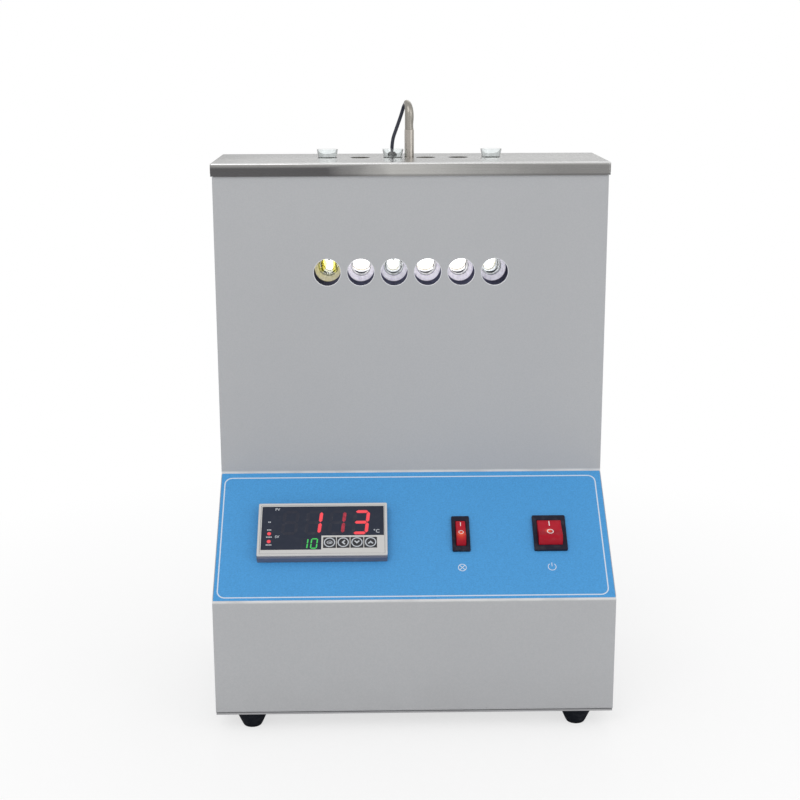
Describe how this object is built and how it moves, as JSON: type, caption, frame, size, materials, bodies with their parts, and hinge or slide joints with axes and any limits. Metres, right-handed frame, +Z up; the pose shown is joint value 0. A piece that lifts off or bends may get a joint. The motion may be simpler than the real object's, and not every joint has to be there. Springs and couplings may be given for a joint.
{
  "type": "dropping point tester",
  "caption": "Bench dropping point tester for greases: sheet-metal tower with a heated block for glass tubes, lit viewing holes, and a sloping console with a panel meter and two rocker switches.",
  "frame": {"origin": "on the bench, below the middle of the outline", "axes": "+X to the right and +Y to the back as seen from the console, +Z up"},
  "size_m": [0.2946, 0.1844, 0.4501],
  "materials": {
    "cabinet_paint": "light grey baked powder paint, fine orange peel",
    "console_film": "printed blue film, satin",
    "cover_stainless": "brushed stainless sheet",
    "foot_rubber": "black moulded rubber",
    "screw_steel": "zinc-plated steel",
    "block_aluminium": "machined aluminium",
    "sleeve_aluminium": "turned bright aluminium",
    "black_board": "black insulating board",
    "insulation_board": "pale fibre insulation board",
    "heater_sheath": "heat-tinted steel sheath",
    "cutout_body": "pressed aluminium cap",
    "stand_zinc": "zinc-plated folded sheet",
    "light_box_white": "white paint",
    "diffuser_opal": "opal sheet, lit from behind",
    "board_green": "green solder mask",
    "lamp_white": "white lamp domes",
    "tube_glass": "clear borosilicate glass",
    "cup_plated": "chromium-plated brass",
    "probe_steel": "turned stainless steel",
    "lead_black": "black flexible sheath",
    "grommet_rubber": "black rubber",
    "meter_body": "dark blue-grey moulding, fine texture",
    "meter_face": "light grey moulding",
    "meter_glass": "smoked window",
    "key_caps": "dark keys with light rings and signs",
    "switch_black": "black moulding",
    "rocker_red": "translucent red, lit from inside",
    "inlet_black": "black moulding",
    "inlet_pin_metal": "nickel-plated brass",
    "fuse_glass": "glass body with metal ends",
    "relay_body": "pale relay moulding",
    "supply_case": "plain metal case",
    "terminal_plastic": "black moulding"
  },
  "bodies": {
    "cabinet": {"front_panel": "cabinet_paint", "side_panel_left": "cabinet_paint", "side_panel_right": "cabinet_paint", "rear_panel": "cabinet_paint", "bottom_plate": "cabinet_paint", "console_overlay": "console_film", "top_cover": "cover_stainless", "foot_front_left": "foot_rubber", "foot_front_right": "foot_rubber", "foot_rear_left": "foot_rubber", "foot_rear_right": "foot_rubber", "foot_screws": "screw_steel", "rear_panel_screws": "screw_steel", "oven_screws": "screw_steel", "stand_screws": "screw_steel", "heating_block": "block_aluminium", "sight_sleeves": "sleeve_aluminium", "front_board": "black_board", "insulation_rear": "insulation_board", "insulation_top": "insulation_board", "insulation_bottom": "insulation_board", "insulation_left": "insulation_board", "insulation_right": "insulation_board", "cartridge_heaters": "heater_sheath", "thermal_cutout": "cutout_body", "oven_stand": "stand_zinc", "light_box": "light_box_white", "light_diffuser": "diffuser_opal", "led_board": "board_green", "display_board": "board_green", "led_chips": "lamp_white", "probe_collar": "probe_steel", "probe_sheath": "probe_steel", "probe_lead": "lead_black", "lead_grommet": "grommet_rubber", "meter_case": "meter_body", "meter_clamps": "meter_body", "meter_faceplate": "meter_face", "meter_window": "meter_glass", "power_switch_frame": "switch_black", "light_switch_frame": "switch_black", "power_inlet": "inlet_black", "inlet_pins": "inlet_pin_metal", "solid_state_relay": "relay_body", "lamp_supply": "supply_case", "terminal_block": "terminal_plastic"},
    "power_rocker": {"power_switch_rocker": "rocker_red"},
    "light_rocker": {"light_switch_rocker": "rocker_red"},
    "key_set": {"key_set": "key_caps"},
    "key_shift": {"key_shift": "key_caps"},
    "key_down": {"key_down": "key_caps"},
    "key_up": {"key_up": "key_caps"},
    "tube_1": {"test_tube_1": "tube_glass", "grease_cup_1": "cup_plated"},
    "tube_3": {"test_tube_3": "tube_glass", "grease_cup_3": "cup_plated"},
    "tube_6": {"test_tube_6": "tube_glass", "grease_cup_6": "cup_plated"},
    "fuse_drawer": {"fuse_drawer": "inlet_black", "fuses": "fuse_glass"}
  },
  "joints": [
    {"name": "power_rocker_tilt", "type": "hinge", "parent": "cabinet", "child": "power_rocker", "pos_m": [0.102, -0.04614, 0.13341], "axis": [1, 0, 0], "range_deg": [0, 34]},
    {"name": "light_rocker_tilt", "type": "hinge", "parent": "cabinet", "child": "light_rocker", "pos_m": [0.0356, -0.04614, 0.13341], "axis": [1, 0, 0], "range_deg": [0, 34]},
    {"name": "key_set_press", "type": "slide", "parent": "cabinet", "child": "key_set", "axis": [0, 0.6057, -0.7957], "range_m": [0, 0.0004], "stiffness_N_per_m": 1500},
    {"name": "key_shift_press", "type": "slide", "parent": "cabinet", "child": "key_shift", "axis": [0, 0.6057, -0.7957], "range_m": [0, 0.0004], "stiffness_N_per_m": 1500},
    {"name": "key_down_press", "type": "slide", "parent": "cabinet", "child": "key_down", "axis": [0, 0.6057, -0.7957], "range_m": [0, 0.0004], "stiffness_N_per_m": 1500},
    {"name": "key_up_press", "type": "slide", "parent": "cabinet", "child": "key_up", "axis": [0, 0.6057, -0.7957], "range_m": [0, 0.0004], "stiffness_N_per_m": 1500},
    {"name": "tube_1_lift", "type": "slide", "parent": "cabinet", "child": "tube_1", "axis": [0, 0, 1], "range_m": [0, 0.105]},
    {"name": "tube_3_lift", "type": "slide", "parent": "cabinet", "child": "tube_3", "axis": [0, 0, 1], "range_m": [0, 0.105]},
    {"name": "tube_6_lift", "type": "slide", "parent": "cabinet", "child": "tube_6", "axis": [0, 0, 1], "range_m": [0, 0.105]},
    {"name": "fuse_drawer_pull", "type": "slide", "parent": "cabinet", "child": "fuse_drawer", "axis": [0, 1, 0], "range_m": [0, 0.018]}
  ]
}
